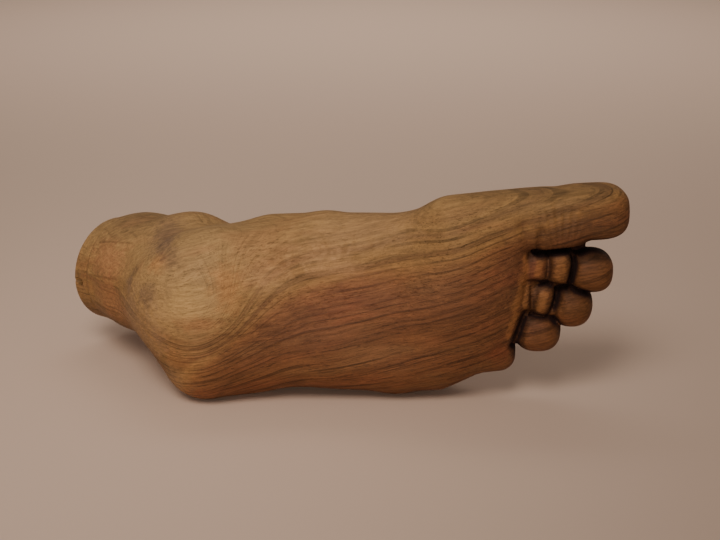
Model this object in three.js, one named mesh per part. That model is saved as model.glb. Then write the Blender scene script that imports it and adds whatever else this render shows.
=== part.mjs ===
// A left foot carved from one billet of fruitwood, cut off flat above the ankle, on its little-toe side.
// Millimetres, +Z up. +X runs from heel to toes, the sole faces -Y and the big-toe side is uppermost.
// The form is one closed surface: bars, eggs and lumps are blended into each other, then cuts are carved in.

import * as THREE from "three";

// Driving dimensions. Places are given from a working origin under the middle of the foot.
const FRAME_ORIGIN = [-5.15, 13.5]; // X and Y of the finished block's middle, where the part's own origin goes
const REST_Z = 0; // the surface that the foot lies on
const LEG_TURN = THREE.MathUtils.degToRad(40); // how far the leg leaves the sole's own line
const LEG_END = [-74.6, 38, 21.4]; // centre of the sawn end
const LEG_RADIUS = 14.6; // at the sawn end
const END_CHAMFER = 1.6;
const TOES_FROM_X = 38; // where the toes leave the ball of the foot
const TOES_MIDDLE_Y = -9; // the middle of the toes' thickness
const NAIL_GROOVE = 0.7; // half width of the groove round a nail
const NAIL_DEPTH = 0.5;
const FLAT_PLAY = 0.06; // vertices this near a flat are put onto it
const TRIANGLES = 9400;

// Building blocks. Each gives a function of a point: below 0 inside, above 0 outside, about the distance.

// A round-ended bar whose radius changes evenly from one end to the other.
function bar(a, b, radiusA, radiusB = radiusA) {
  const [dx, dy, dz] = [b[0] - a[0], b[1] - a[1], b[2] - a[2]];
  const lengthSquared = dx * dx + dy * dy + dz * dz;
  return (x, y, z) => {
    const [px, py, pz] = [x - a[0], y - a[1], z - a[2]];
    const share = Math.min(1, Math.max(0, (px * dx + py * dy + pz * dz) / lengthSquared));
    const away = Math.hypot(px - share * dx, py - share * dy, pz - share * dz);
    return away - radiusA - share * (radiusB - radiusA);
  };
}

// Coordinates about a centre: u is turned from X towards Y, then towards Z, by angles in degrees.
function turned(centre, turnY, turnZ) {
  const [a, b] = [turnY, turnZ].map(THREE.MathUtils.degToRad);
  const [ca, sa, cb, sb] = [Math.cos(a), Math.sin(a), Math.cos(b), Math.sin(b)];
  return (x, y, z) => {
    const [px, py, pz] = [x - centre[0], y - centre[1], z - centre[2]];
    const level = px * ca + py * sa;
    return [level * cb + pz * sb, py * ca - px * sa, pz * cb - level * sb];
  };
}

// An egg with three radii.
function egg(centre, radii, turnY = 0, turnZ = 0) {
  const local = turned(centre, turnY, turnZ);
  const [rx, ry, rz] = radii;
  return (x, y, z) => {
    const [u, v, w] = local(x, y, z);
    const near = Math.hypot(u / rx, v / ry, w / rz);
    const slope = Math.hypot(u / (rx * rx), v / (ry * ry), w / (rz * rz));
    return slope ? (near * (near - 1)) / slope : -Math.min(rx, ry, rz);
  };
}

// An egg with fuller corners: a squareness of 2 gives an egg, and higher values come nearer to a block.
function lump(centre, radii, squareness, turnY = 0, turnZ = 0) {
  const local = turned(centre, turnY, turnZ);
  const power = squareness - 1;
  return (x, y, z) => {
    const [a, b, c] = local(x, y, z).map((part, i) => Math.abs(part) / radii[i]);
    const near = (a ** squareness + b ** squareness + c ** squareness) ** (1 / squareness);
    const slope = Math.hypot(a ** power / radii[0], b ** power / radii[1], c ** power / radii[2]);
    return slope ? (near ** power * (near - 1)) / slope : -Math.min(...radii);
  };
}

// The lower of two values with a rounded corner of about the given size, and the higher one likewise.
function softMin(a, b, soft) {
  const h = Math.max(soft - Math.abs(a - b), 0);
  return Math.min(a, b) - (h * h) / (4 * soft);
}
const softMax = (a, b, soft) => -softMin(-a, -b, soft);
const join = (soft, ...forms) => (x, y, z) =>
  forms.reduce((sum, form) => softMin(sum, form(x, y, z), soft), 1e3);

// A chain of bars through [place, radius] pairs.
function limb(soft, ...joints) {
  const bars = joints.slice(1).map(([place, radius], i) => bar(joints[i][0], place, joints[i][1], radius));
  return join(soft, ...bars);
}

// The back of the foot: heel pad, heel bone, ankle with its two knobs, and the leg up to the sawn end.
function hindfoot() {
  const heel = join(
    7,
    egg([-42.6, -3.5, 25], [16.1, 15.8, 18]),
    bar([-40.8, -9.5, 10.7], [-31, -5, 12], 10.7, 11.5),
  );
  const tendon = bar([-45, 0, 24.6], [-59, 18, 24], 14.6, 15);
  const ankle = join(8, egg([-33, 8, 23], [17, 17, 20]), bar([-44, 3, 24], [-42, 16, 23.5], 15, 16.5));
  const legAxis = [-Math.cos(LEG_TURN), Math.sin(LEG_TURN), -0.15];
  const alongLeg = (distance) => LEG_END.map((value, i) => value - legAxis[i] * distance);
  const leg = limb(
    3,
    [alongLeg(-9), LEG_RADIUS - 0.1],
    [alongLeg(16), LEG_RADIUS + 2.3],
    [alongLeg(34), LEG_RADIUS + 2.3],
  );
  const knobs = join(2, egg([-46.5, 18, 36], [9, 8, 7.6]), egg([-43.5, 17.5, 8.6], [10, 9, 9]));
  return join(5, join(8, heel, ankle, tendon), leg, knobs);
}

// The five long bones of the forefoot, from the instep to the knuckles, and the pads under them.
function forefoot() {
  const rays = [
    limb(
      2,
      [[-21, 6, 36], 11.4],
      [[-7, 2, 38], 11.1],
      [[17, -3.8, 40], 10.2],
      [[27, -8, 46.2], 9.8],
      [[50, -10, 51], 7],
    ),
    limb(3, [[-18, 11, 30], 10], [[32, -8, 37], 8.6]),
    limb(3, [[-16, 8, 22], 10], [[31, -8.5, 28.5], 8.4]),
    limb(3, [[-18, 3, 15], 10], [[27, -8, 19.5], 8.2]),
    limb(3, [[-22, -3, 11.8], 9.6], [[12, -6, 9.6], 9], [[22, -7, 11], 9.2], [[31, -8, 14.6], 6.4]),
  ];
  const sole = join(
    10,
    limb(3, [[-38, -8.5, 14], 10.2], [[13, -9.5, 12.5], 8.6]),
    limb(3, [[-38, -6, 26], 12], [[26, -10.5, 28], 8]),
    limb(3, [[-34, -4.5, 34.5], 11], [[26, -9.5, 42], 8]),
  );
  const ball = egg([29.5, -11, 30.5], [18.6, 9.6, 24], 0, -9);
  return join(6, ...rays, sole, ball);
}

// Each toe, the big one first: pads from root to tip as [centre, radii, squareness, turn towards Z].
const TOES = [
  [
    [[44, -9.4, 50.6], [22, 7.6, 7.8], 3, 6],
    [[54, -10.2, 50.5], [9.5, 7.2, 7.4], 3, 4],
    [[62.6, -10, 53.1], [10.5, 7.6, 7.2], 3.2, 3],
  ],
  [
    [[48.2, -8.8, 38.3], [5.4, 6.6, 5.3], 2.6, 0],
    [[55.3, -9.2, 38.3], [4.3, 7, 5.9], 2.6, 0],
    [[63.7, -10.2, 36.9], [6.1, 7.2, 5.7], 2.6, 0],
  ],
  [
    [[45, -8.6, 29.4], [5.2, 6.2, 5.6], 2.6, 0],
    [[51.5, -9, 28.8], [4, 6.5, 5.7], 2.6, 0],
    [[59.2, -10.2, 27.3], [5.8, 6.8, 6.2], 2.3, 0],
  ],
  [
    [[42, -8.4, 21.2], [6, 6, 5.4], 2.6, 0],
    [[50.4, -9.8, 19.8], [6.4, 6.8, 6], 2.4, 0],
  ],
  [
    [[33.5, -8.8, 14], [6.4, 6, 5.4], 2.4, 0],
    [[38.9, -9.4, 13.1], [5.9, 6.2, 5.4], 2.4, 0],
  ],
];

// The gap under the big toe, a straight line in X and Z from root to tip, and its width.
const BIG_TOE_GAP = { root: [50, 42.7], tip: [64, 44.5], width: 1 };
// A web closes the gap at the back, towards the upper side of the foot.
const BIG_TOE_WEB = [[48, -6.4, 43], [60.6, -6.6, 43.6], 2.6, 2.4];

// The toes: the big one stands clear of the others, which meet each other in narrow creases.
function toes() {
  const [big, ...small] = TOES.map((pads) =>
    join(1, ...pads.map(([centre, radii, squareness, turn]) => lump(centre, radii, squareness, 0, turn))),
  );
  const others = join(0.5, ...small);
  const web = bar(...BIG_TOE_WEB);
  const { root, tip, width } = BIG_TOE_GAP;
  const [dx, dz] = [tip[0] - root[0], tip[1] - root[1]];
  return (x, y, z) => {
    const above = ((z - root[1]) * dx - (x - root[0]) * dz) / Math.hypot(dx, dz);
    const upper = softMax(big(x, y, z), width / 2 - above, 1.3);
    const lower = softMax(others(x, y, z), width / 2 + above, 1.3);
    return softMin(softMin(upper, lower, 0.5), web(x, y, z), 0.8);
  };
}

// Grooves scored into the sole side: points in X and Z, half width and depth.
const CREASES = [
  { path: [[46.9, 43.2], [46.6, 36], [45.6, 30]], half: 1, depth: 0.5 },
  { path: [[46.4, 26], [44.9, 21.3], [43.6, 16.6]], half: 1, depth: 1 },
  { path: [[44.4, 51], [45.4, 46.5], [46.6, 43.8]], half: 1.4, depth: 0.5 },
  { path: [[49.2, 49.8], [48.8, 44]], half: 0.9, depth: 0.6 },
];

// Nails let into the upper side of the toes: middle in X and Z, half length and half width.
const NAILS = [
  [66.6, 53.2, 4.4, 4.6],
  [65.6, 36.9, 2.8, 3.2],
  [61, 27.2, 2.5, 2.9],
  [52.8, 19.8, 2.4, 2.8],
  [41, 13, 2.2, 2.4],
];

// How far a point lies from a chain of straight lines in X and Z.
function fromPath(path, x, z) {
  const away = path.slice(1).map(([x1, z1], i) => {
    const [x0, z0] = path[i];
    const [dx, dz] = [x1 - x0, z1 - z0];
    const share = Math.min(1, Math.max(0, ((x - x0) * dx + (z - z0) * dz) / (dx * dx + dz * dz)));
    return Math.hypot(x - x0 - share * dx, z - z0 - share * dz);
  });
  return Math.min(...away);
}

// The depth of all the grooves at a point; both kinds run out towards the middle of the toes' thickness.
function scoring(x, y, z) {
  if (x < TOES_FROM_X) return 0;
  const fromMiddle = y - TOES_MIDDLE_Y;
  const runOut = Math.min(1, Math.max(0, (Math.abs(fromMiddle) - 1) / 3));
  let depth = 0;
  if (fromMiddle < 0)
    for (const { path, half, depth: full } of CREASES)
      depth = Math.max(depth, full * Math.exp(-((fromPath(path, x, z) / half) ** 2)));
  else
    for (const [middleX, middleZ, halfX, halfZ] of NAILS) {
      const [low, high] = [-1, 1].map((side) => middleZ + side * halfZ);
      const [root, tip] = [middleX - halfX, middleX + halfX];
      const rim = fromPath([[tip, low], [root, low + 0.8], [root, high - 0.8], [tip, high]], x, z);
      depth = Math.max(depth, NAIL_DEPTH * Math.exp(-((rim / NAIL_GROOVE) ** 2)));
    }
  return depth * runOut;
}

const END_NORMAL = [-Math.cos(LEG_TURN), Math.sin(LEG_TURN)];
const beyondEnd = (x, y) => (x - LEG_END[0]) * END_NORMAL[0] + (y - LEG_END[1]) * END_NORMAL[1];

function foot() {
  const body = join(8, hindfoot(), forefoot());
  const arch = egg([-8, -40, 54], [38, 29, 35], 0, 5);
  const spread = toes();
  return (x, y, z) => {
    const sole = softMax(body(x, y, z), -arch(x, y, z), 10);
    const wood = softMin(sole, spread(x, y, z), 2.4) + scoring(x, y, z);
    const sawn = beyondEnd(x, y);
    const chamfer = (wood + sawn + END_CHAMFER) * Math.SQRT1_2;
    return Math.max(wood, sawn, chamfer, REST_Z - z);
  };
}

// Brings a vertex that lies almost on one of the two flats exactly onto it.
function flatten(vertex) {
  const past = beyondEnd(vertex[0], vertex[1]);
  if (past > -FLAT_PLAY) END_NORMAL.forEach((n, axis) => (vertex[axis] -= past * n));
  if (vertex[2] < REST_Z + FLAT_PLAY) vertex[2] = REST_Z;
}

const evenly = (low, high, step) =>
  Array.from({ length: Math.ceil((high - low) / step) + 1 }, (_, i) => low + i * step);

// The direction in which the function rises at a point, with its steepness as length.
function slopeAt(form, [x, y, z], probe = 0.01) {
  return new THREE.Vector3(
    form(x + probe, y, z) - form(x - probe, y, z),
    form(x, y + probe, z) - form(x, y - probe, z),
    form(x, y, z + probe) - form(x, y, z - probe),
  ).divideScalar(2 * probe);
}

// The vertex for one sheet of surface in a grid cell: the place nearest to all the tangent planes
// where the surface cuts the cell's edges.
function vertexOf(sheet) {
  const middle = new THREE.Vector3();
  sheet.forEach(({ point }) => middle.addScaledVector(point, 1 / sheet.length));
  const pull = 0.08; // keeps the place near the middle where the planes are almost parallel
  const m = [pull, 0, 0, 0, pull, 0, 0, 0, pull];
  const goal = new THREE.Vector3();
  for (const { point, normal } of sheet) {
    const n = normal.toArray();
    m.forEach((_, at) => (m[at] += n[Math.floor(at / 3)] * n[at % 3]));
    goal.addScaledVector(normal, normal.dot(point) - normal.dot(middle));
  }
  const step = goal.applyMatrix3(new THREE.Matrix3(...m).invert()).clampLength(0, 0.9);
  return middle.add(step).toArray();
}

// Sorts the crossings on a cell's edges into separate sheets of surface. Two crossings on one face of
// the cell belong together; where a face has four, the pairs that meet at a corner inside the form do.
function sheetsOf(crossings, isInside) {
  let sheet = crossings.map((_, i) => i);
  for (const axis of [0, 1, 2])
    for (const side of [0, 1]) {
      const here = [...crossings.keys()].filter(
        (i) => crossings[i].axis !== axis && crossings[i].offset[axis] === side,
      );
      for (const p of here)
        for (const q of here) {
          if (p >= q || sheet[p] === sheet[q]) continue;
          const corner = crossings[p].offset.map((value, i) => Math.max(value, crossings[q].offset[i]));
          const meet = crossings[p].axis !== crossings[q].axis && isInside(corner);
          if (here.length > 2 && !meet) continue;
          const [old, now] = [sheet[p], sheet[q]];
          sheet = sheet.map((label) => (label === old ? now : label));
        }
    }
  return [...new Set(sheet)].map((label) => crossings.filter((_, i) => sheet[i] === label));
}

// Turns the function into a closed mesh: a vertex for each sheet of surface in each grid cell,
// and a square face for each grid edge that crosses the surface.
function skin(form, xs, ys, zs) {
  const [nx, ny, nz] = [xs.length, ys.length, zs.length];
  const at = (i, j, k) => (i * ny + j) * nz + k;
  const values = new Float64Array(nx * ny * nz);
  for (let i = 0; i < nx; i++)
    for (let j = 0; j < ny; j++)
      for (let k = 0; k < nz; k++) values[at(i, j, k)] = form(xs[i], ys[j], zs[k]);

  const cells = new Map();
  const squares = [];
  const steps = [at(1, 0, 0), at(0, 1, 0), at(0, 0, 1)];
  for (let i = 1; i < nx - 1; i++)
    for (let j = 1; j < ny - 1; j++)
      for (let k = 1; k < nz - 1; k++)
        for (const axis of [0, 1, 2]) {
          const here = at(i, j, k);
          const [before, after] = [values[here], values[here + steps[axis]]];
          if (before < 0 === after < 0) continue;
          const point = new THREE.Vector3(xs[i], ys[j], zs[k]);
          const gap = [xs[i + 1] - xs[i], ys[j + 1] - ys[j], zs[k + 1] - zs[k]][axis];
          let [low, high, atLow, atHigh] = [0, gap, before, after];
          const start = point.getComponent(axis);
          for (let round = 0; round < 3; round++) {
            const split = low + ((high - low) * atLow) / (atLow - atHigh);
            point.setComponent(axis, start + split);
            const value = form(...point.toArray());
            if (value < 0 === atLow < 0) [low, atLow] = [split, value];
            else [high, atHigh] = [split, value];
          }
          const normal = slopeAt(form, point.toArray()).normalize();
          const [b, c] = [(axis + 1) % 3, (axis + 2) % 3];
          const ring = [[1, 1], [0, 1], [0, 0], [1, 0]].map(([back, down]) => {
            const cell = here - back * steps[b] - down * steps[c];
            const offset = [0, 0, 0];
            [offset[b], offset[c]] = [back, down];
            const crossing = { point, normal, axis, offset };
            if (!cells.has(cell)) cells.set(cell, []);
            cells.get(cell).push(crossing);
            return crossing;
          });
          squares.push(before < 0 ? ring : ring.reverse());
        }

  const vertices = [];
  for (const [cell, crossings] of cells) {
    const isInside = (corner) => values[corner.reduce((at, value, i) => at + value * steps[i], cell)] < 0;
    for (const sheet of sheetsOf(crossings, isInside)) {
      vertices.push(vertexOf(sheet));
      sheet.forEach((crossing) => (crossing.vertex = vertices.length - 1));
    }
  }
  const triangles = squares.flatMap((ring) => {
    const [a, b, c, d] = ring.map((crossing) => crossing.vertex);
    return [[a, b, c], [a, c, d]];
  });
  return { vertices, triangles };
}

// Thins the mesh: edges are folded away one by one, the least harmful first, until the wanted count is left.
// The harm is the sum of squared distances from the planes that have met at the corner that goes.
function thin({ vertices, triangles }, wanted) {
  const minus = (a, b) => [a[0] - b[0], a[1] - b[1], a[2] - b[2]];
  const cross = (a, b) => [a[1] * b[2] - a[2] * b[1], a[2] * b[0] - a[0] * b[2], a[0] * b[1] - a[1] * b[0]];
  const dot = (a, b) => a[0] * b[0] + a[1] * b[1] + a[2] * b[2];
  const faceCross = (a, b, c) => cross(minus(b, a), minus(c, a));

  const live = triangles.map(() => true);
  const around = vertices.map(() => new Set());
  triangles.forEach((triangle, t) => triangle.forEach((v) => around[v].add(t)));
  const planes = vertices.map(() => new Float64Array(10));
  const facing = vertices.map(() => [0, 0, 0]);
  for (const triangle of triangles) {
    const [a, b, c] = triangle.map((v) => vertices[v]);
    const normal = faceCross(a, b, c);
    const length = Math.hypot(...normal) || 1;
    const [nx, ny, nz] = normal.map((n) => n / length);
    const d = -(nx * a[0] + ny * a[1] + nz * a[2]);
    const weight = length / 2;
    const terms = [nx * nx, nx * ny, nx * nz, nx * d, ny * ny, ny * nz, ny * d, nz * nz, nz * d, d * d];
    for (const v of triangle) {
      terms.forEach((term, i) => (planes[v][i] += term * weight));
      [nx, ny, nz].forEach((n, i) => (facing[v][i] += n * weight));
    }
  }
  const harm = (q, r, [x, y, z]) => {
    const s = q.map((term, i) => term + r[i]);
    return (
      s[0] * x * x + 2 * s[1] * x * y + 2 * s[2] * x * z + 2 * s[3] * x + s[4] * y * y +
      2 * s[5] * y * z + 2 * s[6] * y + s[7] * z * z + 2 * s[8] * z + s[9]
    );
  };

  const neighbours = (v) => {
    const found = new Set();
    for (const t of around[v]) triangles[t].forEach((w) => w !== v && found.add(w));
    return found;
  };
  const stamp = new Int32Array(vertices.length);
  const heap = [];
  const swap = (i, j) => ([heap[i], heap[j]] = [heap[j], heap[i]]);
  const push = (entry) => {
    let i = heap.push(entry) - 1;
    while (i && heap[(i - 1) >> 1].cost > heap[i].cost) {
      swap(i, (i - 1) >> 1);
      i = (i - 1) >> 1;
    }
  };
  const pop = () => {
    swap(0, heap.length - 1);
    const top = heap.pop();
    for (let i = 0; ; ) {
      const [left, right] = [2 * i + 1, 2 * i + 2];
      let least = i;
      if (left < heap.length && heap[left].cost < heap[least].cost) least = left;
      if (right < heap.length && heap[right].cost < heap[least].cost) least = right;
      if (least === i) return top;
      swap(i, least);
      i = least;
    }
  };
  const SLIMMEST = 0.08; // the least height of a triangle, as a share of its longest side
  const EVEN = 0.002; // a little weight on length, so that flat places keep well-shaped triangles
  const offer = (gone, kept) => {
    const apart = minus(vertices[gone], vertices[kept]);
    const cost = harm(planes[gone], planes[kept], vertices[kept]) + EVEN * dot(apart, apart);
    push({ cost, gone, kept, stamps: [stamp[gone], stamp[kept]] });
  };
  vertices.forEach((_, v) => neighbours(v).forEach((w) => offer(v, w)));

  let count = triangles.length;
  while (count > wanted && heap.length) {
    const { gone, kept, stamps } = pop();
    if (stamps[0] !== stamp[gone] || stamps[1] !== stamp[kept]) continue;
    const shared = [...neighbours(gone)].filter((w) => neighbours(kept).has(w));
    if (shared.length !== 2) continue;
    const moved = [...around[gone]].filter((t) => !triangles[t].includes(kept));
    const turnsOver = moved.some((t) => {
      const corners = triangles[t].map((v) => (v === gone ? kept : v));
      const [a, b, c] = corners.map((v) => vertices[v]);
      const now = faceCross(a, b, c);
      const size = Math.hypot(...now);
      const longest = Math.max(...[minus(a, b), minus(b, c), minus(c, a)].map((edge) => dot(edge, edge)));
      const away = (v) => dot(facing[v], now) < 0.3 * size * Math.hypot(...facing[v]);
      return size < SLIMMEST * longest || corners.some(away);
    });
    if (turnsOver) continue;
    for (const t of around[gone]) {
      if (!triangles[t].includes(kept)) continue;
      live[t] = false;
      count--;
      triangles[t].forEach((v) => v !== gone && around[v].delete(t));
    }
    for (const t of moved) {
      triangles[t] = triangles[t].map((v) => (v === gone ? kept : v));
      around[kept].add(t);
    }
    around[gone].clear();
    planes[gone].forEach((term, i) => (planes[kept][i] += term));
    stamp[gone]++;
    stamp[kept]++;
    neighbours(kept).forEach((w) => {
      offer(kept, w);
      offer(w, kept);
    });
  }
  return { vertices, triangles: triangles.filter((_, t) => live[t]) };
}

function carvedFoot() {
  const form = foot();
  const lengthwise = [...evenly(-95.1, 32, 1.5), ...evenly(33.4, 78, 1)];
  const rough = skin(form, lengthwise, evenly(-26.3, 62, 1.3), evenly(-2.87, 66, 0.6));
  rough.vertices.forEach(flatten);
  const { vertices, triangles } = thin(rough, TRIANGLES);
  const used = [...new Set(triangles.flat())];
  const place = new Map(used.map((v, i) => [v, i]));
  const points = used.flatMap((v) => vertices[v]);
  const geometry = new THREE.BufferGeometry();
  geometry.setAttribute("position", new THREE.Float32BufferAttribute(points, 3));
  geometry.setIndex(triangles.flat().map((v) => place.get(v)));
  geometry.translate(-FRAME_ORIGIN[0], -FRAME_ORIGIN[1], 0);
  geometry.computeVertexNormals();
  const wood = new THREE.MeshStandardMaterial({ color: 0x9a6f47, roughness: 0.62, metalness: 0 });
  const mesh = new THREE.Mesh(geometry, wood);
  mesh.name = "carved_foot";
  return mesh;
}

const part = new THREE.Group();
part.add(carvedFoot());
export default part;
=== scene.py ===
import math

import bpy
import numpy as np
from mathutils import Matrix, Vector


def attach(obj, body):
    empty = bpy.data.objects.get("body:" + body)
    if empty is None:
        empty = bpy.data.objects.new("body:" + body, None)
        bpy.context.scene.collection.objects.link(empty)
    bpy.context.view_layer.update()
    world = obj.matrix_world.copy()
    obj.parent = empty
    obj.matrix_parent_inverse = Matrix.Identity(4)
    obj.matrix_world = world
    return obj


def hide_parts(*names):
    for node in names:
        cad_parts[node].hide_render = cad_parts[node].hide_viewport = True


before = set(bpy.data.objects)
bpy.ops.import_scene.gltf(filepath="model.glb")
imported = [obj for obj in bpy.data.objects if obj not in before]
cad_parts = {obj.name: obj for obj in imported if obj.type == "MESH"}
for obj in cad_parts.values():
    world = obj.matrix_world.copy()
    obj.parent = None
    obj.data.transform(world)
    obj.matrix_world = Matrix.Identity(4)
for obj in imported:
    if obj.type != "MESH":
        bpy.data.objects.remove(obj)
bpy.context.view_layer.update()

# A carved wooden foot, lying on its little-toe side. The form is worked out in millimetres from a working
# origin under the middle of the foot; the finished mesh is in metres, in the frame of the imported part.
MM = 0.001
FRAME_ORIGIN = (-5.15, 13.5, 0.0)  # the frame's origin, seen from the working origin
LEG_TURN = math.radians(40)  # how far the leg leaves the sole's own line
LEG_END = (-74.6, 38.0, 21.4)  # centre of the sawn end
LEG_RADIUS = 14.6
LEG_SLOPE = 0.15  # how fast the leg's middle rises from the sawn end
LEG_BEFORE_X = -55.0
END_NORMAL = (-math.cos(LEG_TURN), math.sin(LEG_TURN))
END_CHAMFER = 1.6
TOES_FROM_X = 38.0
TOES_MIDDLE_Y = -9.0
SIDE_FADE = 3.0  # over this distance from the middle of the toes, what belongs to one side comes in


# Building blocks of the form. Each gives a function of a point: below 0 in the wood, above 0 outside,
# and about the distance in millimetres. x, y and z may be numbers or arrays.
def length(*parts):
    return np.sqrt(sum(part * part for part in parts))


def bar(a, b, radius_a, radius_b):
    """A round-ended bar whose radius changes evenly from one end to the other."""
    a, along = np.array(a, float), np.subtract(b, a).astype(float)

    def form(x, y, z):
        px, py, pz = x - a[0], y - a[1], z - a[2]
        share = np.clip((px * along[0] + py * along[1] + pz * along[2]) / (along @ along), 0, 1)
        away = length(px - share * along[0], py - share * along[1], pz - share * along[2])
        return away - radius_a - share * (radius_b - radius_a)

    return form


def turned(centre, turn_y, turn_z):
    """Coordinates about a centre: u is turned from X towards Y, then towards Z, by angles in degrees."""
    ca, sa = math.cos(math.radians(turn_y)), math.sin(math.radians(turn_y))
    cb, sb = math.cos(math.radians(turn_z)), math.sin(math.radians(turn_z))

    def local(x, y, z):
        px, py, pz = x - centre[0], y - centre[1], z - centre[2]
        level = px * ca + py * sa
        return level * cb + pz * sb, py * ca - px * sa, pz * cb - level * sb

    return local


def egg(centre, radii, turn_y=0, turn_z=0):
    local = turned(centre, turn_y, turn_z)
    rx, ry, rz = radii

    def form(x, y, z):
        u, v, w = local(x, y, z)
        near = length(u / rx, v / ry, w / rz)
        slope = np.maximum(length(u / rx**2, v / ry**2, w / rz**2), 1e-9)
        return near * (near - 1) / slope

    return form


def lump(centre, radii, squareness, turn_y=0, turn_z=0):
    """An egg with fuller corners: a squareness of 2 gives an egg, and higher values a blunter block."""
    local = turned(centre, turn_y, turn_z)
    power = squareness - 1

    def form(x, y, z):
        shares = [np.abs(part) / radius for part, radius in zip(local(x, y, z), radii)]
        near = sum(share**squareness for share in shares) ** (1 / squareness)
        slope = length(*(share**power / radius for share, radius in zip(shares, radii)))
        return near**power * (near - 1) / np.maximum(slope, 1e-9)

    return form


def soft_min(a, b, soft):
    """The lower of two values, with a rounded corner of about the given size."""
    near = np.maximum(soft - np.abs(a - b), 0)
    return np.minimum(a, b) - near * near / (4 * soft)


def soft_max(a, b, soft):
    return -soft_min(-a, -b, soft)


def join(soft, *forms):
    def form(x, y, z):
        total = forms[0](x, y, z)
        for other in forms[1:]:
            total = soft_min(total, other(x, y, z), soft)
        return total

    return form


def limb(soft, *joints):
    """A chain of bars through pairs of a place and a radius."""
    pairs = zip(joints, joints[1:])
    return join(soft, *(bar(a, b, radius_a, radius_b) for (a, radius_a), (b, radius_b) in pairs))


def hindfoot():
    """The back of the foot: heel pad, heel bone, ankle with its two knobs, and the leg to the sawn end."""
    heel = join(
        7,
        egg((-42.6, -3.5, 25), (16.1, 15.8, 18)),
        bar((-40.8, -9.5, 10.7), (-31, -5, 12), 10.7, 11.5),
    )
    tendon = bar((-45, 0, 24.6), (-59, 18, 24), 14.6, 15)
    ankle = join(8, egg((-33, 8, 23), (17, 17, 20)), bar((-44, 3, 24), (-42, 16, 23.5), 15, 16.5))
    axis = np.array([*END_NORMAL, -LEG_SLOPE])
    leg = limb(
        3,
        (LEG_END + axis * 9, LEG_RADIUS - 0.1),
        (LEG_END - axis * 16, LEG_RADIUS + 2.3),
        (LEG_END - axis * 34, LEG_RADIUS + 2.3),
    )
    knobs = join(2, egg((-46.5, 18, 36), (9, 8, 7.6)), egg((-43.5, 17.5, 8.6), (10, 9, 9)))
    return join(5, join(8, heel, ankle, tendon), leg, knobs)


def forefoot():
    """The five long bones from the instep to the knuckles, and the pads under them."""
    rays = [
        limb(
            2,
            ((-21, 6, 36), 11.4),
            ((-7, 2, 38), 11.1),
            ((17, -3.8, 40), 10.2),
            ((27, -8, 46.2), 9.8),
            ((50, -10, 51), 7),
        ),
        limb(3, ((-18, 11, 30), 10), ((32, -8, 37), 8.6)),
        limb(3, ((-16, 8, 22), 10), ((31, -8.5, 28.5), 8.4)),
        limb(3, ((-18, 3, 15), 10), ((27, -8, 19.5), 8.2)),
        limb(3, ((-22, -3, 11.8), 9.6), ((12, -6, 9.6), 9), ((22, -7, 11), 9.2), ((31, -8, 14.6), 6.4)),
    ]
    sole = join(
        10,
        limb(3, ((-38, -8.5, 14), 10.2), ((13, -9.5, 12.5), 8.6)),
        limb(3, ((-38, -6, 26), 12), ((26, -10.5, 28), 8)),
        limb(3, ((-34, -4.5, 34.5), 11), ((26, -9.5, 42), 8)),
    )
    ball = egg((29.5, -11, 30.5), (18.6, 9.6, 24), 0, -9)
    return join(6, *rays, sole, ball)


# Each toe, the big one first: pads from root to tip as (centre, radii, squareness, turn towards Z).
TOES = [
    [
        ((44, -9.4, 50.6), (22, 7.6, 7.8), 3, 6),
        ((54, -10.2, 50.5), (9.5, 7.2, 7.4), 3, 4),
        ((62.6, -10, 53.1), (10.5, 7.6, 7.2), 3.2, 3),
    ],
    [
        ((48.2, -8.8, 38.3), (5.4, 6.6, 5.3), 2.6, 0),
        ((55.3, -9.2, 38.3), (4.3, 7, 5.9), 2.6, 0),
        ((63.7, -10.2, 36.9), (6.1, 7.2, 5.7), 2.6, 0),
    ],
    [
        ((45, -8.6, 29.4), (5.2, 6.2, 5.6), 2.6, 0),
        ((51.5, -9, 28.8), (4, 6.5, 5.7), 2.6, 0),
        ((59.2, -10.2, 27.3), (5.8, 6.8, 6.2), 2.3, 0),
    ],
    [((42, -8.4, 21.2), (6, 6, 5.4), 2.6, 0), ((50.4, -9.8, 19.8), (6.4, 6.8, 6), 2.4, 0)],
    [((33.5, -8.8, 14), (6.4, 6, 5.4), 2.4, 0), ((38.9, -9.4, 13.1), (5.9, 6.2, 5.4), 2.4, 0)],
]

# The gap under the big toe: X and Z at the root and at the tip, and the width. A web closes it at the back.
BIG_TOE_GAP = ((50, 42.7), (64, 44.5), 1)
BIG_TOE_WEB = ((48, -6.4, 43), (60.6, -6.6, 43.6), 2.6, 2.4)
GAP_ROUNDING = 1.3


def toe(pads):
    """One toe, its pads joined from root to tip."""
    return join(1, *(lump(place, radii, squareness, 0, turn) for place, radii, squareness, turn in pads))


def toes():
    """The toes: the big one stands clear of the others, which meet each other in narrow creases."""
    big = toe(TOES[0])
    others = join(0.5, *(toe(pads) for pads in TOES[1:]))
    (x0, z0), (x1, z1), width = BIG_TOE_GAP
    web = bar(*BIG_TOE_WEB)

    def form(x, y, z):
        above = ((z - z0) * (x1 - x0) - (x - x0) * (z1 - z0)) / math.hypot(x1 - x0, z1 - z0)
        upper = soft_max(big(x, y, z), width / 2 - above, GAP_ROUNDING)
        lower = soft_max(others(x, y, z), width / 2 + above, GAP_ROUNDING)
        return soft_min(soft_min(upper, lower, 0.5), web(x, y, z), 0.8)

    return form


# Grooves scored into the sole side: points in X and Z, half width and depth.
CREASES = [
    ([(46.9, 43.2), (46.6, 36), (45.6, 30)], 1, 0.5),
    ([(46.4, 26), (44.9, 21.3), (43.6, 16.6)], 1, 1),
    ([(44.4, 51), (45.4, 46.5), (46.6, 43.8)], 1.4, 0.5),
    ([(49.2, 49.8), (48.8, 44)], 0.9, 0.6),
]

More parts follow.
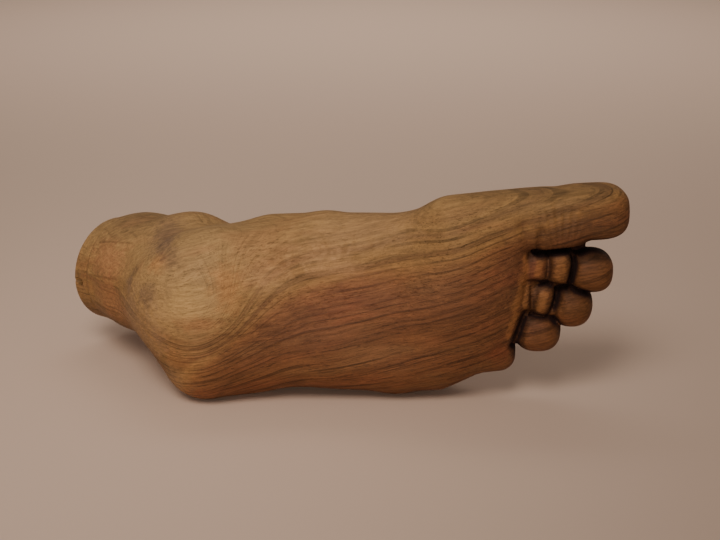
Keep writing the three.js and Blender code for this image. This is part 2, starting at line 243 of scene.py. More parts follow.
# Finer creases, which only this mesh carries.
FINE_CREASES = [
    ([(57.9, 43.4), (58.9, 39.8), (57.9, 34.8)], 0.7, 1.1),
    ([(52.2, 42.8), (52.0, 36.0)], 0.6, 0.3),
    ([(46.6, 35.2), (50.8, 34.4), (54.2, 34.2), (58.0, 33.2), (62.4, 32.0)], 0.7, 0.7),
    ([(55.4, 33.2), (54.3, 28.9), (52.3, 24.8)], 0.85, 0.9),
    ([(47.6, 33.2), (48.2, 26.0)], 0.5, 0.3),
    ([(48.0, 25.2), (52.4, 24.8), (54.6, 23.6)], 0.7, 0.6),
    ([(47.8, 43.4), (49.4, 42.9)], 0.8, 1.2),
]

# Nails let into the upper side of the toes: middle in X and Z, half length and half width. A groove runs
# round each, with its corners cut at the root.
NAILS = [
    (66.6, 53.2, 4.4, 4.6),
    (65.6, 36.9, 2.8, 3.2),
    (61, 27.2, 2.5, 2.9),
    (52.8, 19.8, 2.4, 2.8),
    (41, 13, 2.2, 2.4),
]
NAIL_CORNER = 0.8
NAIL_GROOVE = 0.7
NAIL_DEPTH = 0.5

# How dark the painted shade and grime in the grooves look: the power of a groove's depth and the share of
# its width that the dark line takes, the strength and half width at a nail's rim, and the strength of the
# lines on the leg.
GROOVE_POWER = 0.8
GROOVE_SHARE = 0.8
NAIL_SHADE, NAIL_SHADE_WIDTH = 0.75, 0.6
LEG_SHADE = 0.68


def from_path(path, x, z):
    """How far a point lies from a chain of straight lines in X and Z."""
    away = []
    for (x0, z0), (x1, z1) in zip(path, path[1:]):
        dx, dz = x1 - x0, z1 - z0
        share = np.clip(((x - x0) * dx + (z - z0) * dz) / (dx * dx + dz * dz), 0, 1)
        away.append(np.hypot(x - x0 - share * dx, z - z0 - share * dz))
    return np.minimum.reduce(away)


def nail_rims(x, z):
    """How far a point lies from the groove round each nail."""
    rims = []
    for middle_x, middle_z, half_x, half_z in NAILS:
        root, tip = middle_x - half_x, middle_x + half_x
        low, high = middle_z - half_z, middle_z + half_z
        corners = [(root, low + NAIL_CORNER), (root, high - NAIL_CORNER)]
        rims.append(from_path([(tip, low), *corners, (tip, high)], x, z))
    return np.minimum.reduce(rims)


def sole_side(y):
    """How far a place belongs to the sole side of the toes: 1 on that side, 0 from the middle on."""
    return np.clip((TOES_MIDDLE_Y - y) / SIDE_FADE, 0, 1)


def scoring(x, y, z):
    """The depth of all the grooves, which run out 1 mm from the middle of the toes' thickness."""
    from_middle = y - TOES_MIDDLE_Y
    run_out = np.clip((np.abs(from_middle) - 1) / SIDE_FADE, 0, 1)
    creases = [
        depth * np.exp(-((from_path(path, x, z) / half) ** 2))
        for path, half, depth in CREASES + FINE_CREASES
    ]
    nails = NAIL_DEPTH * np.exp(-((nail_rims(x, z) / NAIL_GROOVE) ** 2))
    grooves = np.where(from_middle < 0, np.maximum.reduce(creases), nails)
    return grooves * run_out * (x >= TOES_FROM_X)


def crease_at(x, y, z):
    """How near a point is to a crease, the rim of a nail or a line on the leg: 1 in it, 0 away from it."""
    creases = [
        depth**GROOVE_POWER * np.exp(-((from_path(path, x, z) / (GROOVE_SHARE * half)) ** 2))
        for path, half, depth in CREASES + FINE_CREASES
    ]
    on_sole = np.clip(np.maximum.reduce(creases), 0, 1) * sole_side(y)
    nails = NAIL_SHADE * np.exp(-((nail_rims(x, z) / NAIL_SHADE_WIDTH) ** 2))
    on_top = nails * (y > TOES_MIDDLE_Y + SIDE_FADE)
    on_toes = np.maximum(on_sole, on_top) * (x >= TOES_FROM_X)
    return np.maximum(on_toes, LEG_SHADE * leg_lines(x, y, z))


# Places where the knife cut across the fibres and the wood stayed paler: points in X and Z, and half width.
FRESH_CUTS = [
    ([(45.6, 42.0), (46.0, 37.6)], 0.9),
    ([(45.4, 36.4), (44.9, 31.6), (43.2, 28.6)], 1.5),
    ([(43.6, 26.4), (42.2, 22.6), (41.9, 19.8)], 1.0),
    ([(55.2, 41.0), (54.9, 37.0)], 1.6),
    ([(49.5, 40.0), (49.2, 37.4)], 1.2),
    ([(51.0, 31.0), (50.2, 27.6)], 1.4),
    ([(45.9, 32.6), (46.2, 27.8)], 0.9),
]


def fresh_at(x, y, z):
    """How pale the wood is from cuts across its fibres, on the sole side only."""
    cuts = [np.exp(-((from_path(path, x, z) / half) ** 4)) for path, half in FRESH_CUTS]
    return np.maximum.reduce(cuts) * sole_side(y)


def beyond_end(x, y):
    """How far a point lies past the sawn end."""
    return (x - LEG_END[0]) * END_NORMAL[0] + (y - LEG_END[1]) * END_NORMAL[1]


# Two flats planed along the leg on the sole side: the angle of the middle above the level, half the angle
# and the depth. They fade in and out at these distances from the sawn end.
LEG_FLATS = [(math.radians(26), math.radians(16.3), 0.65), (math.radians(-5), math.radians(14.7), 0.6)]
FLATS_FROM, FLATS_FADE_IN = 9, 2
FLATS_TO, FLATS_FADE_OUT = 32, 6
FLAT_BORDER = 0.04  # half width of the dark line along a flat, as an angle

# A line scored round the leg near the sawn end: distance from the end, half width and depth. The dark in
# it is narrower and runs over a part of the way round: strength, half width, middle angle and half angle.
RIM_LINE = (8.0, 0.7, 0.25)
RIM_DARK = (0.95, 0.6, 0.2, 0.6)

# Nicks in the rim by that line: centre and half sizes of what is cut out.
NICKS = [((-82.4, 23.2, 21.8), (2.2, 2.2, 1.2)), ((-78.2, 23.4, 34.4), (1.8, 1.8, 0.9))]


def along_leg(x, y, z):
    """The distance from the sawn end, the angle round the leg, whether a place is on the leg's sole side,
    and how far it belongs to the flats."""
    from_end = -beyond_end(x, y)
    side = (x - LEG_END[0]) * -END_NORMAL[1] + (y - LEG_END[1]) * END_NORMAL[0]
    angle = np.arctan2(z - LEG_END[2] - LEG_SLOPE * from_end, side)
    on_sole = (side > 0) * (x < LEG_BEFORE_X)
    fade_in = np.clip((from_end - FLATS_FROM) / FLATS_FADE_IN, 0, 1)
    fade_out = np.clip((FLATS_TO - from_end) / FLATS_FADE_OUT, 0, 1)
    return from_end, angle, on_sole, fade_in * fade_out * on_sole


def leg_lines(x, y, z):
    """How near a point is to the borders of the flats or to the line round the end."""
    from_end, angle, on_sole, on_flats = along_leg(x, y, z)
    near = 0.0
    for middle, half, _ in LEG_FLATS:
        for border in (middle - half, middle + half):
            near = np.maximum(near, np.exp(-(((angle - border) / FLAT_BORDER) ** 2)) * on_flats)
    strength, half, middle, half_angle = RIM_DARK
    rim = strength * np.exp(-(((from_end - RIM_LINE[0]) / half) ** 2)) * on_sole
    return np.maximum(near, rim * (np.abs(angle - middle) < half_angle))


def planed(x, y, z):
    """The depth that is planed or scored off the leg."""
    from_end, angle, on_sole, on_flats = along_leg(x, y, z)
    depth = 0.0
    for middle, half, full in LEG_FLATS:
        depth = depth + full * np.maximum(0, 1 - ((angle - middle) / half) ** 2) * on_flats
    distance, half, full = RIM_LINE
    return depth + full * np.exp(-(((from_end - distance) / half) ** 2)) * on_sole


def foot():
    """The whole foot: the arch hollowed out of the body, the toes added, and all that is cut off them."""
    body = join(8, hindfoot(), forefoot())
    arch = egg((-8, -40, 54), (38, 29, 35), 0, 5)
    spread = toes()
    nicks = [egg(*nick) for nick in NICKS]

    def form(x, y, z):
        sole = soft_max(body(x, y, z), -arch(x, y, z), 10)
        wood = soft_min(sole, spread(x, y, z), 2.4) + scoring(x, y, z) + planed(x, y, z)
        for nick in nicks:
            wood = soft_max(wood, -nick(x, y, z), 0.3)
        sawn = beyond_end(x, y)
        chamfer = (wood + sawn + END_CHAMFER) * math.sqrt(0.5)
        return np.maximum(np.maximum(wood, sawn), np.maximum(chamfer, -z))

    return form


# The skin of the form.
def slope_at(form, points, probe=0.02):
    """The direction in which the form rises at each point, as unit vectors."""
    x, y, z = points.T
    slope = np.stack(
        [
            form(x + probe, y, z) - form(x - probe, y, z),
            form(x, y + probe, z) - form(x, y - probe, z),
            form(x, y, z + probe) - form(x, y, z - probe),
        ],
        axis=1,
    )
    return slope / np.maximum(np.linalg.norm(slope, axis=1, keepdims=True), 1e-12)


def sheet_table():
    """The sheet of surface that each edge of a grid cell lies on, for each set of corners inside the wood.
    A corner's bit is 4 dx + 2 dy + dz. An edge's number is 4 axis, plus 2 and 1 for its offsets on the
    next two axes."""
    edges = [(axis, first, second) for axis in range(3) for first in (0, 1) for second in (0, 1)]

    def offset_of(edge):
        axis, first, second = edge
        offset = [0, 0, 0]
        offset[(axis + 1) % 3], offset[(axis + 2) % 3] = first, second
        return offset

    def inside(corners, offset):
        return corners >> (4 * offset[0] + 2 * offset[1] + offset[2]) & 1

    def is_cut(corners, edge):
        start = offset_of(edge)
        end = list(start)
        end[edge[0]] = 1
        return inside(corners, start) != inside(corners, end)

    table = np.zeros((256, 12), int)
    for corners in range(256):
        sheet = list(range(12))
        cut = [i for i, edge in enumerate(edges) if is_cut(corners, edge)]
        for axis in range(3):
            for side in (0, 1):
                here = [i for i in cut if edges[i][0] != axis and offset_of(edges[i])[axis] == side]
                for p in here:
                    for q in here:
                        corner = np.maximum(offset_of(edges[p]), offset_of(edges[q]))
                        meet = edges[p][0] != edges[q][0] and inside(corners, corner)
                        if len(here) == 2 or meet:
                            old, now = sheet[p], sheet[q]
                            sheet = [now if label == old else label for label in sheet]
        table[corners] = sheet
    return table


def skin(form, xs, ys, zs):
    """Closed surface of the form as corners and four-sided faces: one corner for each sheet of surface in
    each grid cell, at the place nearest to all the tangent planes where the surface cuts its edges."""
    lines = (xs, ys, zs)
    values = form(xs[:, None, None], ys[None, :, None], zs[None, None, :])
    inside = values < 0
    shape = np.array(values.shape)
    stride = np.array([shape[1] * shape[2], shape[2], 1])

    corners = np.zeros(shape - 1, int)
    for bit in range(8):
        dx, dy, dz = bit >> 2, bit >> 1 & 1, bit & 1
        part = inside[dx : shape[0] - 1 + dx, dy : shape[1] - 1 + dy, dz : shape[2] - 1 + dz]
        corners |= part.astype(int) << bit

    points, keys, rings_turned = [], [], []
    table = sheet_table()
    for axis in range(3):
        low_side = np.moveaxis(inside, axis, 0)[:-1]
        high_side = np.moveaxis(inside, axis, 0)[1:]
        at = np.argwhere(np.moveaxis(low_side != high_side, 0, axis))
        start = np.stack([line[at[:, i]] for i, line in enumerate(lines)], axis=1)
        gap = lines[axis][at[:, axis] + 1] - start[:, axis]
        value_low = values[tuple(at.T)]
        step = np.eye(3, dtype=int)[axis]
        value_high = values[tuple((at + step).T)]
        turned_round = value_low > 0
        low, high = np.zeros(len(at)), gap.copy()
        point = start.copy()
        for _ in range(3):
            split = low + (high - low) * value_low / (value_low - value_high)
            point[:, axis] = start[:, axis] + split
            value = form(*point.T)
            is_low = (value < 0) == (value_low < 0)
            low, value_low = np.where(is_low, split, low), np.where(is_low, value, value_low)
            high, value_high = np.where(is_low, high, split), np.where(is_low, value_high, value)
        b, c = (axis + 1) % 3, (axis + 2) % 3
        ring = []
        for back, down in ((1, 1), (0, 1), (0, 0), (1, 0)):
            cell = at.copy()
            cell[:, b] -= back
            cell[:, c] -= down
            sheet = table[corners[tuple(cell.T)], 4 * axis + 2 * back + down]
            ring.append((cell @ stride) * 12 + sheet)
        points.append(point)
        keys.append(np.stack(ring, axis=1))
        rings_turned.append(turned_round)

    point, key, turned_round = np.concatenate(points), np.concatenate(keys), np.concatenate(rings_turned)
    normal = slope_at(form, point)
    used, corner = np.unique(key.ravel(), return_inverse=True)

    def gather(columns):
        rows = [np.bincount(corner, np.repeat(column, 4), len(used)) for column in columns.T]
        return np.stack(rows, axis=1)

    middle = gather(point) / np.bincount(corner)[:, None]
    spread = gather((normal[:, :, None] * normal[:, None, :]).reshape(-1, 9)).reshape(-1, 3, 3)
    goal = gather(normal * (normal * point).sum(axis=1, keepdims=True))
    goal -= np.einsum("nij,nj->ni", spread, middle)
    pull = 0.08  # keeps a corner near the middle where the planes are almost parallel
    shift = np.linalg.solve(spread + pull * np.eye(3), goal[:, :, None])[:, :, 0]
    far = np.linalg.norm(shift, axis=1, keepdims=True)
    furthest = 0.7 * (ys[1] - ys[0])
    shift *= np.minimum(1, furthest / np.maximum(far, 1e-9))
    faces = corner.reshape(-1, 4)
    faces = np.where(turned_round[:, None], faces[:, ::-1], faces)
    return middle + shift, faces


# Reaches of the measures that the finish is laid by.
NARROW_GAP = 3.0
WIDE_GAP = 7.0
THIN_EDGE = 1.6
MARKS_FADE = 2.0  # distance from the flats at which the tool marks have their full depth


def evenly(low, high, step):
    return low + step * np.arange(math.ceil((high - low) / step) + 1)


def hollow_at(form, points, normals, reach):
    """How much of the space above a point is taken by other wood: 0 in the open, 1 in a deep gap."""
    x, y, z = (points + normals * reach).T
    return np.clip(1 - form(x, y, z) / reach, 0, 1)


def edge_at(form, points, normals, reach):
    """How much wood is missing below a point: 0 on a flat surface, towards 1 on a sharp edge."""
    x, y, z = (points - normals * reach).T
    return np.clip(1 + form(x, y, z) / reach, 0, 1)


def carved_foot():
    coarseness = 1.0
    over_body, over_toes = evenly(-86, 33, 0.74 * coarseness), evenly(34, 75, 0.54 * coarseness)
    xs = np.concatenate([over_body, over_toes])
    ys = evenly(-24.2, 50.5, 0.62 * coarseness)
    zs = evenly(-1.15, 63, 0.6 * coarseness)
    form = foot()
    corners, faces = skin(form, xs, ys, zs)
    normals = slope_at(form, corners)
    mesh = bpy.data.meshes.new("carved_foot_figure")
    mesh.from_pydata(((corners - FRAME_ORIGIN) * MM).tolist(), [], faces.tolist())
    mesh.validate()
    x, y, z = corners.T
    hollow = hollow_at(form, corners, normals, NARROW_GAP)
    hollow = np.where(x < LEG_BEFORE_X, 0.5 * hollow, hollow)  # less painted shade and grime in the nicks of the rim
    from_flats = np.minimum(z, -beyond_end(x, y) - END_CHAMFER)
    for name, values in (
        ("hollow", hollow),
        ("sunk", hollow_at(form, corners, normals, WIDE_GAP)),
        ("edge", edge_at(form, corners, normals, THIN_EDGE)),
        ("fresh", fresh_at(x, y, z)),
        ("crease", crease_at(x, y, z)),
        ("free", np.clip(from_flats / MARKS_FADE, 0, 1)),
    ):
        mesh.attributes.new(name, "FLOAT", "POINT").data.foreach_set("value", values.astype(np.float32))
    mesh.shade_smooth()
    piece = bpy.data.objects.new("carved_foot_figure", mesh)
    bpy.context.scene.collection.objects.link(piece)
    return piece


# Node trees.
class Nodes:
    """Adds nodes to a tree. An input is given as a number, a vector, a colour or another node's output."""

    def __init__(self, tree):
        self.tree = tree

    def add(self, kind, values=None, output=0, **settings):
        made = self.tree.nodes.new(kind)
        for name, value in settings.items():
            setattr(made, name, value)
        for name, value in (values or {}).items():
            if isinstance(value, bpy.types.NodeSocket):
                self.tree.links.new(value, made.inputs[name])
            else:
                made.inputs[name].default_value = value
        return made.outputs[output]

    def math(self, operation, *values):
        return self.add("ShaderNodeMath", dict(enumerate(values)), operation=operation)

    def vector(self, operation, *values, output="Vector"):
        return self.add("ShaderNodeVectorMath", dict(enumerate(values)), output, operation=operation)

    def scaled(self, vector, factor):
        return self.add("ShaderNodeVectorMath", {0: vector, "Scale": factor}, operation="SCALE")

    def dot(self, a, b):
        return self.vector("DOT_PRODUCT", a, b, output="Value")

    def smooth(self, value, low, high, at_low=0.0, at_high=1.0):
        """An even passage from one value at low to another at high."""
        limits = {"Value": value, "From Min": low, "From Max": high, "To Min": at_low, "To Max": at_high}
        return self.add("ShaderNodeMapRange", limits, interpolation_type="SMOOTHSTEP")

    def noise(self, vector, scale, detail=2.0, roughness=0.5):
        return self.add(
            "ShaderNodeTexNoise",
            {"Vector": vector, "Scale": scale, "Detail": detail, "Roughness": roughness},
        )

    def noise_along(self, value, scale, detail=2.0, roughness=0.5):
        return self.add(
            "ShaderNodeTexNoise",
            {"W": value, "Scale": scale, "Detail": detail, "Roughness": roughness},
            noise_dimensions="1D",
        )

    def attribute(self, name):
        """A measure that was laid on the mesh."""
        return self.add("ShaderNodeAttribute", output="Fac", attribute_name=name)

    def mix(self, share, a, b):
        """A mix of two colours."""
        return self.add("ShaderNodeMix", {0: share, 6: a, 7: b}, output=2, data_type="RGBA")


def new_tree(name, kind, inputs, outputs):
    """A node group with named sockets: its nodes, its group input and a function that sets its outputs."""
    tree = bpy.data.node_groups.new(name, kind)
    for socket, (socket_type, default) in inputs.items():
        made = tree.interface.new_socket(socket, in_out="INPUT", socket_type=socket_type)
        if default is not None:
            made.default_value = default
    for socket, socket_type in outputs.items():
        tree.interface.new_socket(socket, in_out="OUTPUT", socket_type=socket_type)
    start, end = tree.nodes.new("NodeGroupInput"), tree.nodes.new("NodeGroupOutput")

    def give(**results):
        for socket, value in results.items():
            tree.links.new(value, end.inputs[socket.replace("_", " ")])

    return Nodes(tree), start.outputs, give


NUMBER, VECTOR = "NodeSocketFloat", "NodeSocketVector"
MATERIAL, GEOMETRY = "NodeSocketMaterial", "NodeSocketGeometry"


# Tool marks, made with geometry nodes on the finished skin. Lengths in them are in metres.
def in_frame(*place):
    """A place in the working millimetres, given in the frame's metres."""
    return [(here - origin) * MM for here, origin in zip(place, FRAME_ORIGIN)]


# File marks on the sole side of the big toe, which fan out from a centre well below them.
FILE_PLACE = in_frame(54.0, -17.5, 50.5)
FAN_CENTRE = in_frame(55.0, -17.5, 33.0)
FAN_WAVER = 4.0  # how far the marks bend, in radians of their wave
TOES_FROM = (TOES_FROM_X - FRAME_ORIGIN[0]) * MM
UNSANDED = (TOES_FROM - 0.004, TOES_FROM + 0.006)  # from sanded wood to the bare cuts of the knife
SCOOP_MIDDLE = 0.35  # the height at which a scoop neither adds nor takes wood
SAW_SLANT = (0.25, 0.1, 0.96)  # across the saw's marks
SAWN_FROM = 0.995  # how nearly a face looks along the leg to count as sawn


def tool_marks():
    """Shallow knife scoops and file marks on the toes, a slight unevenness everywhere, and saw marks on the
    sawn end."""
    inputs = {
        "Geometry": (GEOMETRY, None),
        "Scoop Length": (NUMBER, 0.0075),
        "Scoop Width": (NUMBER, 0.0038),
        "Scoop Depth": (NUMBER, 0.00022),
        "Sanded Scoop Depth": (NUMBER, 0.00007),
        "Swell Size": (NUMBER, 0.012),
        "Swell Height": (NUMBER, 0.00028),
        "File Place": (VECTOR, FILE_PLACE),
        "File Reach": (NUMBER, 0.0085),
        "Fan Centre": (VECTOR, FAN_CENTRE),
        "Fan Turns": (NUMBER, 62.0),
        "File Depth": (NUMBER, 0.00016),
        "Saw Step": (NUMBER, 0.0023),
        "Saw Depth": (NUMBER, 0.00011),
        "Carved Wood": (MATERIAL, None),
        "Sawn Wood": (MATERIAL, None),
    }
    nodes, given, give = new_tree("tool marks", "GeometryNodeTree", inputs, {"Geometry": GEOMETRY})
    place = nodes.add("GeometryNodeInputPosition")
    normal = nodes.add("GeometryNodeInputNormal")
    free = nodes.add("GeometryNodeInputNamedAttribute", {"Name": "free"}, data_type="FLOAT")

    along_x = nodes.add("ShaderNodeSeparateXYZ", {0: place}, "X")
    cell = nodes.add(
        "ShaderNodeCombineXYZ",
        {"X": given["Scoop Length"], "Y": given["Scoop Width"], "Z": given["Scoop Width"]},
    )
    from_scoop = nodes.add(
        "ShaderNodeTexVoronoi",
        {"Vector": nodes.vector("DIVIDE", place, cell), "Scale": 1.0},
        feature="SMOOTH_F1",
    )
    on_toes = nodes.smooth(along_x, *UNSANDED)
    depth = nodes.add(
        "ShaderNodeMix",
        {0: on_toes, 2: given["Sanded Scoop Depth"], 3: given["Scoop Depth"]},
        data_type="FLOAT",
    )
    scoops = nodes.math("SUBTRACT", nodes.math("POWER", from_scoop, 2.0), SCOOP_MIDDLE)
    scoops = nodes.math("MULTIPLY", scoops, depth)
    swell = nodes.noise(nodes.scaled(place, nodes.math("DIVIDE", 1.0, given["Swell Size"])), 1.0, 1.0)
    swell = nodes.math("MULTIPLY", nodes.math("SUBTRACT", swell, 0.5), given["Swell Height"])
    fan = nodes.vector("SUBTRACT", place, given["Fan Centre"])
    fan = nodes.math("ARCTAN2", nodes.dot(fan, (0.0, 0.0, 1.0)), nodes.dot(fan, (1.0, 0.0, 0.0)))
    fan = nodes.math("MULTIPLY", fan, given["Fan Turns"])
    fan = nodes.math("MULTIPLY_ADD", nodes.noise(nodes.scaled(place, 90.0), 1.0), FAN_WAVER, fan)
    from_file = nodes.vector("SUBTRACT", place, given["File Place"])
    from_file = nodes.vector("LENGTH", from_file, output="Value")
    filed = nodes.smooth(from_file, given["File Reach"], nodes.math("MULTIPLY", given["File Reach"], 0.4))
    filed = nodes.math("MULTIPLY", nodes.math("SINE", fan), filed)
    filed = nodes.math("MULTIPLY", filed, given["File Depth"])
    scoops = nodes.math("ADD", scoops, filed)
    lift = nodes.math("MULTIPLY", nodes.math("ADD", scoops, swell), free)
    carved = nodes.add(
        "GeometryNodeSetPosition",
        {"Geometry": given["Geometry"], "Offset": nodes.scaled(normal, lift)},
    )

    sawn_face = (*END_NORMAL, 0.0)
    sawn = nodes.math("GREATER_THAN", nodes.dot(normal, sawn_face), SAWN_FROM)
    slant = nodes.math("DIVIDE", nodes.dot(place, SAW_SLANT), given["Saw Step"])
    slant = nodes.math("ADD", slant, nodes.noise(nodes.scaled(place, 160.0), 1.0))
    marks = nodes.math("MULTIPLY", nodes.math("FRACT", slant), given["Saw Depth"])
    marked = nodes.add(
        "GeometryNodeSetPosition",
        {
            "Geometry": carved,
            "Selection": sawn,
            "Offset": nodes.scaled(sawn_face, nodes.math("MULTIPLY", marks, -1.0)),
        },
    )
    painted = nodes.add("GeometryNodeSetMaterial", {"Geometry": marked, "Material": given["Carved Wood"]})
    painted = nodes.add(
        "GeometryNodeSetMaterial",
        {"Geometry": painted, "Selection": sawn, "Material": given["Sawn Wood"]},
    )
    give(Geometry=nodes.add("GeometryNodeRealizeInstances", {"Geometry": painted}))
    return nodes.tree


def marked(piece, carved_wood, sawn_wood):
    """The piece with its tool marks, as a plain mesh."""
    tree = tool_marks()
    modifier = piece.modifiers.new("tool marks", "NODES")
    modifier.node_group = tree
    for socket in tree.interface.items_tree:
        if socket.name in ("Carved Wood", "Sawn Wood"):
            modifier[socket.identifier] = carved_wood if socket.name == "Carved Wood" else sawn_wood
    seen = piece.evaluated_get(bpy.context.evaluated_depsgraph_get())
    mesh = bpy.data.meshes.new_from_object(seen)
    piece.modifiers.clear()
    piece.data = mesh
    piece.data.name = piece.name
    return piece


# Finishes. Lengths in the wood's pattern are in millimetres from the working origin.
def srgb(red, green, blue):
    """A colour as seen on a screen, 0 to 255, turned into the light that it stands for."""
    shares = [value / 255 for value in (red, green, blue)]
    return (*(s / 12.92 if s <= 0.04045 else ((s + 0.055) / 1.055) ** 2.4 for s in shares), 1.0)


INWARD = Vector((1.68, 1.0, -4.93)).normalized()  # from the bark towards the heart of the tree
# The fibres' own directions: along them, and two ways across them.
FIBRES = Vector((0.98, 0.0, 0.2)).normalized()
BESIDE = Vector((0.2, 0.12, -0.97)).normalized()
BEHIND = FIBRES.cross(BESIDE)
BARK_DEPTH = 62.0  # depth under the bark at the working origin
KNOT_PLACE = (-42.0, -17.0, 28.9)  # a swelling in the rings, which draws the loops on the heel
KNOT_SIZE = (12.3, 30.0, 12.3)
KNOT_RISE = 19.0


def growth_rings():
    """How deep under the bark a point lies, along rings that bulge round a knot. The tone's depth is the
    same, but stays shallow towards the heel and the leg, which were cut from the pale outer wood."""
    inputs = {
        "Point": (VECTOR, None),
        "Inward": (VECTOR, INWARD),
        "Bark Depth": (NUMBER, BARK_DEPTH),
        "Knot Place": (VECTOR, KNOT_PLACE),
        "Knot Size": (VECTOR, KNOT_SIZE),
        "Knot Rise": (NUMBER, KNOT_RISE),
        "Bend": (NUMBER, 2.8),
        "Slow Wander": (NUMBER, 1.6),
        "Quick Wander": (NUMBER, 0.35),
        "Pale To": (NUMBER, 20.0),
        "Pale Share": (NUMBER, 0.85),
    }
    outputs = {"Depth": NUMBER, "Tone Depth": NUMBER}
    nodes, given, give = new_tree("growth rings", "ShaderNodeTree", inputs, outputs)
    point = given["Point"]
    straight = nodes.math("ADD", nodes.dot(point, given["Inward"]), given["Bark Depth"])
    along_x = nodes.dot(point, (1.0, 0.0, 0.0))
    bend = nodes.math("MULTIPLY", nodes.smooth(along_x, -20, 8), given["Bend"])
    bent = nodes.math("SUBTRACT", straight, bend)
    from_knot = nodes.vector("SUBTRACT", point, given["Knot Place"])
    from_knot = nodes.vector("DIVIDE", from_knot, given["Knot Size"])
    near_knot = nodes.math("EXPONENT", nodes.math("MULTIPLY", nodes.dot(from_knot, from_knot), -1.0))
    slow = nodes.math("SUBTRACT", nodes.noise(point, 0.05, 1.0), 0.5)
    quick = nodes.math("SUBTRACT", nodes.noise(point, 0.3, 2.0, 0.5), 0.5)
    depth = nodes.math("MULTIPLY_ADD", slow, given["Slow Wander"], bent)
    depth = nodes.math("MULTIPLY_ADD", quick, given["Quick Wander"], depth)
    depth = nodes.math("SUBTRACT", depth, nodes.math("MULTIPLY", near_knot, given["Knot Rise"]))
    over = nodes.math("MAXIMUM", nodes.math("SUBTRACT", depth, given["Pale To"]), 0.0)
    share = nodes.math("MULTIPLY", nodes.smooth(along_x, -29, -50), given["Pale Share"])
    give(Depth=depth, Tone_Depth=nodes.math("SUBTRACT", depth, nodes.math("MULTIPLY", over, share)))
    return nodes.tree


def woven(nodes, given, scale):
    """A point by its lengths along the fibres, behind them and beside them, with a scale for each."""
    along = nodes.dot(given["Point"], given["Fibres"])
    behind = nodes.dot(given["Point"], given["Behind"])
    beside = nodes.dot(given["Point"], given["Beside"])
    beside = nodes.math("MULTIPLY_ADD", nodes.noise(given["Point"], 0.06, 1.0), 3.0, beside)
    place = nodes.add("ShaderNodeCombineXYZ", {"X": along, "Y": behind, "Z": beside})
    return nodes.vector("MULTIPLY", place, scale)


# The sockets that the fibres' directions come in by.
WEAVE = {"Fibres": (VECTOR, FIBRES), "Behind": (VECTOR, BEHIND), "Beside": (VECTOR, BESIDE)}


def grain_lines():
    """Thin dark lines that run with the rings, each fading in and out along its way."""
    inputs = {"Point": (VECTOR, None), "Depth": (NUMBER, 0.0), "Spacing": (NUMBER, 1.6), **WEAVE}
    outputs = {"Lines": NUMBER, "Hairs": NUMBER}
    nodes, given, give = new_tree("grain lines", "ShaderNodeTree", inputs, outputs)
    rings = nodes.math("DIVIDE", given["Depth"], given["Spacing"])
    lines = nodes.smooth(nodes.noise_along(rings, 1.3, 2.0, 0.6), 0.51, 0.66)
    fade = nodes.noise(woven(nodes, given, (0.05, 0.09, 0.35)), 1.0, 2.0, 0.6)
    fade = nodes.smooth(fade, 0.38, 0.6)
    hairs = nodes.smooth(nodes.noise_along(rings, 4.0, 2.0, 0.7), 0.5, 0.68)
    hair_fade = nodes.noise(woven(nodes, given, (0.12, 0.2, 1.1)), 1.0, 2.0, 0.6)
    hair_fade = nodes.smooth(hair_fade, 0.42, 0.58)
    give(Lines=nodes.math("MULTIPLY", lines, fade), Hairs=nodes.math("MULTIPLY", hairs, hair_fade))
    return nodes.tree


def fibres():
    """Streaks along the wood's fibres, the short dark mouths of its pores, and slow drifts of colour."""
    inputs = {"Point": (VECTOR, None), **WEAVE}
    outputs = {"Streaks": NUMBER, "Pores": NUMBER, "Drift": NUMBER}
    nodes, given, give = new_tree("fibres", "ShaderNodeTree", inputs, outputs)
    streaks = nodes.noise(woven(nodes, given, (0.1, 0.9, 1.7)), 1.0, 5.0, 0.72)
    wide = nodes.add(
        "ShaderNodeTexVoronoi",
        {"Vector": woven(nodes, given, (0.45, 1.7, 2.1)), "Scale": 1.0},
        feature="F1",
    )
    fine = nodes.add(
        "ShaderNodeTexVoronoi",
        {"Vector": woven(nodes, given, (0.9, 2.6, 3.2)), "Scale": 1.0},
        feature="F1",
    )
    patchy = nodes.noise(woven(nodes, given, (0.1, 0.3, 0.4)), 1.0, 2.0)
    patchy = nodes.smooth(patchy, 0.4, 0.62, 0.25, 1.0)
    drift = nodes.noise(woven(nodes, given, (0.035, 0.1, 0.17)), 1.0, 2.0, 0.55)
    wide = nodes.math("MULTIPLY", nodes.smooth(wide, 0.36, 0.16), patchy)
    fine = nodes.smooth(fine, 0.34, 0.14, 0.0, 0.55)
    give(Streaks=streaks, Pores=nodes.math("MAXIMUM", wide, fine), Drift=drift)
    return nodes.tree


def soft_spot():
    """A soft-edged, uneven spot."""
    inputs = {"Point": (VECTOR, None), "Place": (VECTOR, None), "Size": (VECTOR, (1.0, 1.0, 1.0))}
    nodes, given, give = new_tree("soft_spot", "ShaderNodeTree", inputs, {"Mask": NUMBER})
    away = nodes.vector("DIVIDE", nodes.vector("SUBTRACT", given["Point"], given["Place"]), given["Size"])
    away = nodes.vector("LENGTH", away, output="Value")
    ragged = nodes.math("MULTIPLY", nodes.noise(given["Point"], 0.5, 3.0, 0.6), 1.4)
    give(Mask=nodes.smooth(nodes.math("ADD", away, ragged), 1.9, 0.9))
    return nodes.tree


